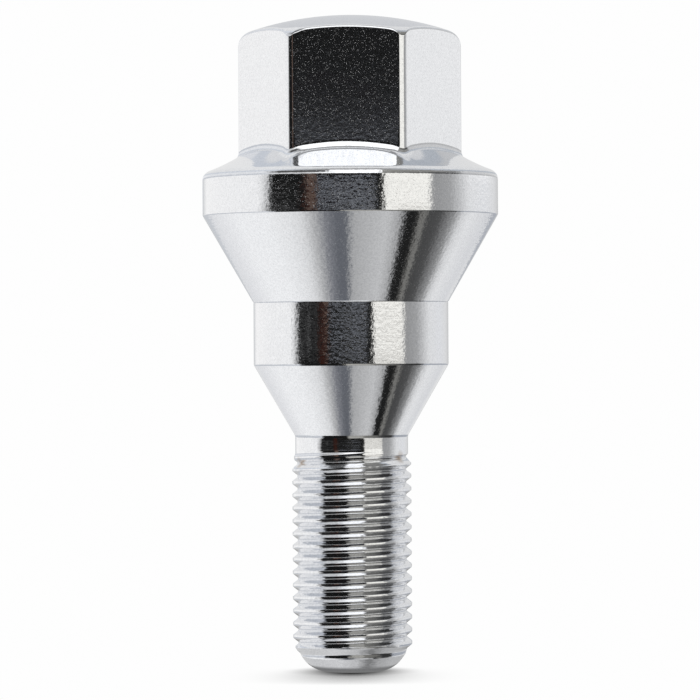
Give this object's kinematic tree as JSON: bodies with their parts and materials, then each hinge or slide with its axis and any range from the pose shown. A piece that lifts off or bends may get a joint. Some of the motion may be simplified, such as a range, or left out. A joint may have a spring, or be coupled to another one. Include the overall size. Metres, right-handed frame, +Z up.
{
  "type": "wheel bolt",
  "caption": "Chrome-plated wheel bolt: a crowned hex head on a flange, a conical seat, a stepped spigot with a lead-in cone, a plain neck and a metric threaded shank with a chamfered point.",
  "frame": {"origin": "centre of the flat end of the threaded point, on which the bolt stands", "axes": "+Z up the bolt's axis from the point to the head; a flat of the hexagon faces -Y"},
  "size_m": [0.0346, 0.0346, 0.0767],
  "materials": {
    "chrome": "polished chrome plating on steel"
  },
  "bodies": {
    "root": {"wheel_bolt": "chrome"}
  },
  "joints": []
}
